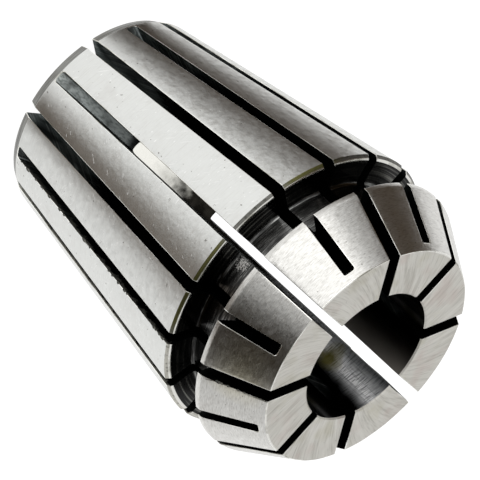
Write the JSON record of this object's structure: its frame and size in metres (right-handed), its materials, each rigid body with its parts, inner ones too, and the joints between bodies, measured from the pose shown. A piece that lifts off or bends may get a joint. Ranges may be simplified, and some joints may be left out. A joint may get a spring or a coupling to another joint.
{
  "type": "er collet",
  "caption": "Double-slotted spring collet with an 8 degree taper, extraction groove and 30 degree nose cone, clamping a 12 mm shank.",
  "frame": {"origin": "centre of the rear face, on the axis, where the collet stands", "axes": "+Z along the axis, from the rear face to the clamping nose; +X through the middle of one of the slots that open at the nose"},
  "size_m": [0.026, 0.026, 0.034],
  "materials": {
    "ground_steel": "hardened spring steel, ground all over, with sawn slots"
  },
  "bodies": {
    "root": {"collet_body": "ground_steel"}
  },
  "joints": []
}
